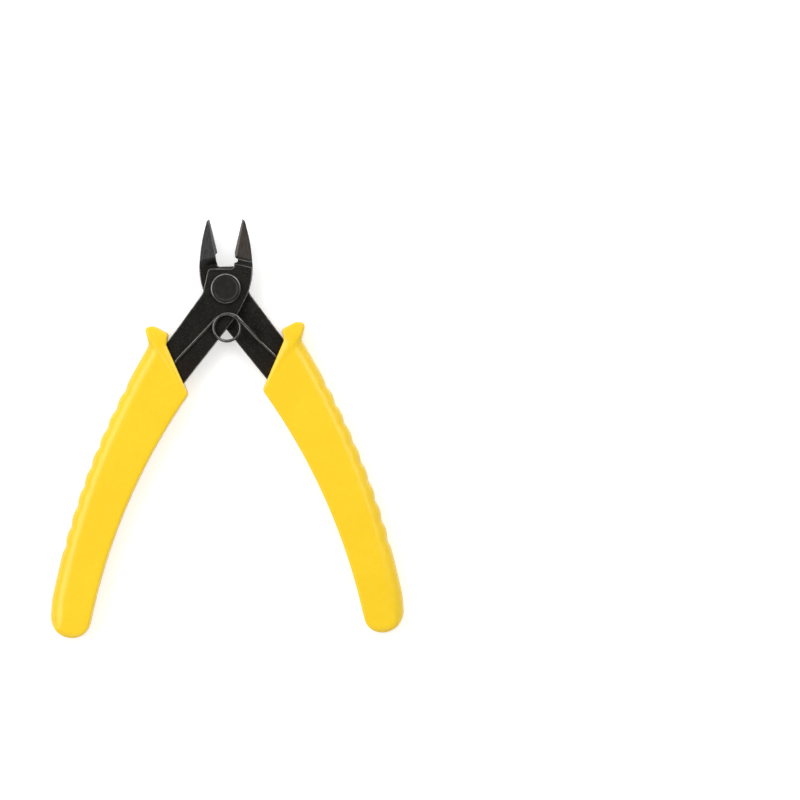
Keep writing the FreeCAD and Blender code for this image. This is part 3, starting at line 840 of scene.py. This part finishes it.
def cut_with(obj, cutter):
    """Cuts a closed mesh out of another one."""
    facing_out(cutter)
    tool = added("cutter", cutter)
    modifier = obj.modifiers.new("cut", "BOOLEAN")
    modifier.operation = "DIFFERENCE"
    modifier.solver = "EXACT"
    modifier.object = tool
    bpy.context.view_layer.update()
    evaluated = obj.evaluated_get(bpy.context.evaluated_depsgraph_get())
    mesh = bpy.data.meshes.new_from_object(evaluated)
    obj.modifiers.clear()
    obj.data = mesh
    bpy.data.objects.remove(tool)


def bar(name, first, last):
    """A closed bar between two rings of as many points."""
    count = len(first)
    faces = [tuple(range(count)), tuple(reversed(range(count, 2 * count)))]
    faces += [(i, i + count, (i + 1) % count + count, (i + 1) % count) for i in range(count)]
    return mesh_of(name, first + last, faces)


def arm_slot(side):
    """The space that the arm fills, with a gap above and below it."""
    low, high = PLATE_SPAN[side]
    heights = (low - SLOT_GAP, high + SLOT_GAP)
    return bar("slot", *([in_place(side, x, y, z) for x, y in SLOT_CORNERS] for z in heights))


def leg_hole(start, end):
    """The round hole for a leg of the spring, between two points from the pivot in millimetres."""
    along = (end - start).normalized()
    across = along.cross(Vector((0, 0, 1))).normalized()
    up = across.cross(along)
    radials = []
    for k in range(HOLE_SIDES):
        angle = 2 * math.pi * k / HOLE_SIDES
        radials.append((across * math.cos(angle) + up * math.sin(angle)) * (WIRE_RADIUS + HOLE_GAP))
    middles = (start, end + along * HOLE_PAST_LEG)
    return bar("hole", *([PIVOT + (middle + radial) * MM for radial in radials] for middle in middles))


YELLOW = (0.950, 0.632, 0.0190, 1)
YELLOW_DEEP = (0.935, 0.612, 0.0165, 1)
YELLOW_EDGE_HIGHLIGHT = (0.970, 0.690, 0.025, 1)
FLOW, CLOUD, PLASTIC_GRAIN = 12.0, 3.0, 0.22
EDGE_HIGHLIGHT_RADIUS, EDGE_PAINTED_HIGHLIGHT = 0.5, 0.35


def yellow_plastic():
    finish = Finish("yellow_moulded_plastic")
    place = finish.place()
    flow = finish.noise(place, FLOW, 2, 0.4)
    cloud = finish.noise(place, CLOUD)
    grain = finish.noise(place, PLASTIC_GRAIN, 2, 0.6)
    colour = finish.mix(finish.step(flow, 0.3, 0.7), YELLOW_DEEP, YELLOW)
    # Painted highlight along the grip's sharper edges.
    colour = finish.mix(finish.edges(EDGE_HIGHLIGHT_RADIUS) * EDGE_PAINTED_HIGHLIGHT, colour, YELLOW_EDGE_HIGHLIGHT)
    return finish.finished(
        {"IOR": 1.48},
        {"Base Color": colour, "Roughness": 0.24 + cloud * 0.02 + grain * 0.05},
        bumps=grain,
        bump_height=0.006,
    )


plastic = yellow_plastic()
scalloped = scallop_grower()
scallop_sizes = {
    "Pitch": SCALLOP_PITCH * MM,
    "Count": float(SCALLOP_COUNT),
    "Depth": SCALLOP_DEPTH * MM,
    "Valley rounding": SCALLOP_VALLEY * MM,
    "Material": plastic,
}
grips = [
    ("left_grip", FRONT, "front_half", left_bend, left_end),
    ("right_grip", REAR, "rear_half", right_landing, right_end),
]
for grip_name, grip_side, grip_body, leg_bend, leg_end in grips:
    shell = grip_shell(grip_name + "_shell", grip_side)
    facing_out(shell.data)
    sleeve = scalloped.grow(shell, grip_name + "_moulded", scallop_sizes)
    cut_with(sleeve, arm_slot(grip_side))
    cut_with(sleeve, leg_hole(leg_bend, leg_end))
    for label in ("back_run", "rim", "inward"):
        sleeve.data.attributes.remove(sleeve.data.attributes[label])
    soften(sleeve.data, 40)
    settle(sleeve, grip_body, "grip_plastic", grip_name)


# ---- Floor ---------------------------------------------------------------------------------------
# A sheet of pale matt board that the tool lies on. It shows white to the camera and in gloss,
# but for the tool's own shadow.

FLOOR_HALF = 2.0
FLOOR_GREY = (0.80, 0.80, 0.80, 1)
FLOOR_GLOW = 0.46
WHITE = (1, 1, 1, 1)


def pale_floor():
    finish = Finish("pale_floor")
    camera_rays = finish.node("ShaderNodeLightPath", output="Is Camera Ray")
    glossy_rays = finish.node("ShaderNodeLightPath", output="Is Glossy Ray")
    strength = finish.maths("MAXIMUM", camera_rays, glossy_rays) * FLOOR_GLOW
    diffuse = finish.node("ShaderNodeBsdfDiffuse", None, {"Color": FLOOR_GREY})
    glow = finish.node("ShaderNodeEmission", None, {"Color": WHITE, "Strength": strength})
    both = finish.node("ShaderNodeAddShader", None, {0: diffuse, 1: glow})
    finish.node("ShaderNodeOutputMaterial", None, {"Surface": both})
    return finish.owner


floor_corners = [(x * FLOOR_HALF, y * FLOOR_HALF, 0) for x, y in ((-1, -1), (1, -1), (1, 1), (-1, 1))]
floor = added("floor", mesh_of("floor", floor_corners, [(0, 1, 2, 3)]))
floor.data.materials.append(pale_floor())


# ---- Room and lamps ------------------------------------------------------------------------------
# A pale room, dimmer overhead than at the horizon, and four soft boxes round the tool, whose
# reflections show along its shoulders and rims. The room is white where the camera sees it.

ZENITH_GLOW = 0.20
HORIZON_GLOW = 0.70


def pale_room():
    room = Finish("pale_room", bpy.data.worlds.new("pale_room"))
    direction = room.node("ShaderNodeTexCoord", output="Generated")
    rise = room.node("ShaderNodeSeparateXYZ", None, {0: direction}, 2)
    from_zenith = 1 - room.maths("MAXIMUM", rise, 0.0)
    glow = from_zenith * from_zenith * (HORIZON_GLOW - ZENITH_GLOW) + ZENITH_GLOW
    seen = room.node("ShaderNodeLightPath", output="Is Camera Ray")
    sockets = {"Color": WHITE, "Strength": glow + (1 - glow) * seen}
    background = room.node("ShaderNodeBackground", None, sockets)
    room.node("ShaderNodeOutputWorld", None, {"Surface": background})
    return room.owner


def soft_box(name, place, width, height, watts):
    """A lamp that faces the middle of the tool."""
    light = bpy.data.lights.new(name, "AREA")
    light.shape = "RECTANGLE"
    light.size, light.size_y = width, height
    light.energy = watts
    obj = added(name, light)
    obj.location = place
    obj.rotation_euler = (-Vector(place)).to_track_quat("-Z", "Y").to_euler()
    obj.visible_camera = False


bpy.context.scene.world = pale_room()
soft_box("top_box", (0.0, 0.75, 0.75), 1.4, 0.35, 4.6)
soft_box("left_box", (-0.57, 0.11, 0.70), 0.70, 0.62, 4.1)
soft_box("right_box", (0.46, 0.36, 0.69), 0.50, 0.50, 2.1)
soft_box("bottom_box", (0.0, -0.85, 0.60), 1.2, 0.30, 2.0)


# ---- Camera --------------------------------------------------------------------------------------
# It looks straight down on the tool's front, from far enough for hardly any perspective, and is
# turned by a fraction of a degree. The tool lies in the left half of the view.

VIEW_WIDTH = 0.2338
VIEW_ROLL = math.radians(0.4)
VIEW_FROM_PIVOT = Vector((0.0508, -0.0325, 0))
CAMERA_HEIGHT = 1.5
camera = bpy.data.cameras.new("camera")
camera.sensor_width = 36.0
camera.lens = camera.sensor_width * CAMERA_HEIGHT / VIEW_WIDTH
camera_obj = added("camera", camera)
roll = Matrix.Rotation(-VIEW_ROLL, 4, "Z")
camera_place = PIVOT + roll @ VIEW_FROM_PIVOT + Vector((0, 0, CAMERA_HEIGHT))
camera_obj.matrix_world = Matrix.Translation(camera_place) @ roll
bpy.context.scene.camera = camera_obj
